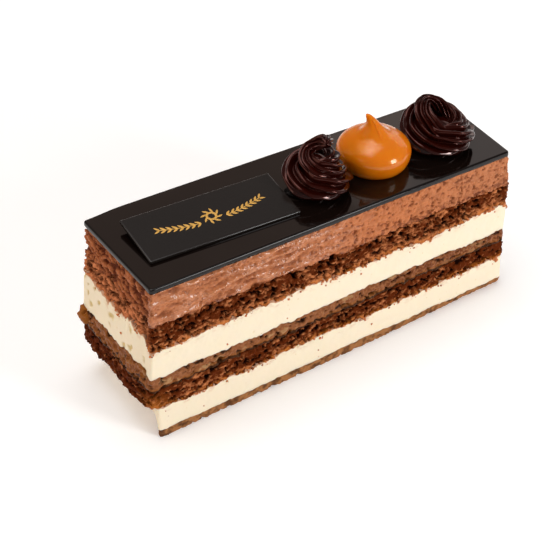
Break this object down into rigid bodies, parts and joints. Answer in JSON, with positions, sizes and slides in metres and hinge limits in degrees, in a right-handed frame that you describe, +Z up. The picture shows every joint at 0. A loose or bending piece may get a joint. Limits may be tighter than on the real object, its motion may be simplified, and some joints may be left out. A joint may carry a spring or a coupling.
{
  "type": "chocolate mousse cake bar",
  "caption": "Cut bar of layered chocolate mousse cake with sponge, cream and nut praline under a dark mirror glaze, topped with a chocolate plaque, piped rosettes and a caramel dollop.",
  "frame": {"origin": "centre of the bounding box, on the flat underside of the biscuit base", "axes": "+X along the bar towards its right end, +Y towards the back side, +Z up"},
  "size_m": [0.1277, 0.0377, 0.0659],
  "materials": {
    "biscuit": "baked crumb",
    "cream": "smooth set cream",
    "sponge": "open dark crumb",
    "praline": "cut nut praline",
    "mousse": "aerated mousse",
    "glaze": "mirror glaze",
    "plaque": "tempered chocolate",
    "ganache": "glossy piped ganache",
    "caramel": "glossy soft caramel"
  },
  "bodies": {
    "root": {"biscuit_base": "biscuit", "lower_cream": "cream", "lower_sponge": "sponge", "praline": "praline", "upper_cream": "cream", "upper_sponge": "sponge", "mousse": "mousse", "glaze": "glaze", "plaque": "plaque", "plaque_dab": "ganache", "rosette_left": "ganache", "rosette_right": "ganache", "caramel_dollop": "caramel"}
  },
  "joints": []
}
